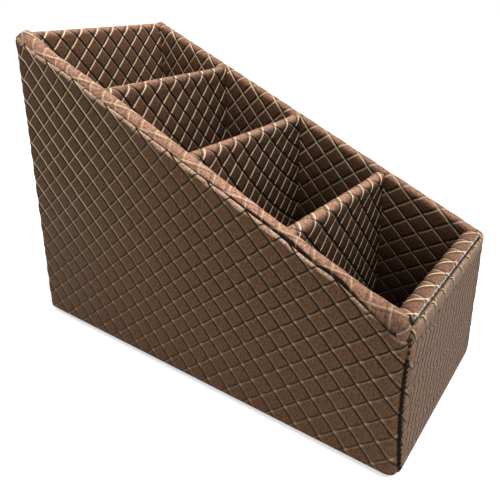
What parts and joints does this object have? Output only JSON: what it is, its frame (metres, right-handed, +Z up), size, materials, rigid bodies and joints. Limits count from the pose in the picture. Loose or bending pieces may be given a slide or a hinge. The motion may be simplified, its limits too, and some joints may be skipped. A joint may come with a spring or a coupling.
{
  "type": "remote control holder",
  "caption": "Desktop remote control holder: a wedge-shaped box in diamond-embossed brown leatherette, its sloping open top parted into upright slots.",
  "frame": {"origin": "centre of the box's footprint, on the surface it stands on", "axes": "+X along the length from the tall end to the low end, +Y across the width away from the sewn corner, +Z up"},
  "size_m": [0.22, 0.1, 0.16],
  "materials": {
    "board": "thin grey-brown fibreboard, raw",
    "cover_leatherette": "brown satin leatherette embossed with padded diamonds, thin gold lines in the grooves, fine grain",
    "lining_leatherette": "the same brown diamond leatherette with gold lines, flattened where it rolls over the rim",
    "divider_leatherette": "the same brown diamond leatherette with gold lines, folded over the divider's top",
    "black_thread": "black waxed sewing thread",
    "base_cloth": "dark brown short-napped cloth"
  },
  "bodies": {
    "root": {"base_board": "board", "near_side_board": "board", "far_side_board": "board", "tall_end_board": "board", "low_end_board": "board", "divider_board_1": "board", "divider_board_2": "board", "divider_board_3": "board", "divider_cover_1": "divider_leatherette", "divider_cover_2": "divider_leatherette", "divider_cover_3": "divider_leatherette", "near_side_lining": "lining_leatherette", "far_side_lining": "lining_leatherette", "tall_end_lining": "lining_leatherette", "low_end_lining": "lining_leatherette", "floor_lining": "lining_leatherette", "outer_cover": "cover_leatherette", "corner_stitching": "black_thread", "base_sheet": "base_cloth"}
  },
  "joints": []
}
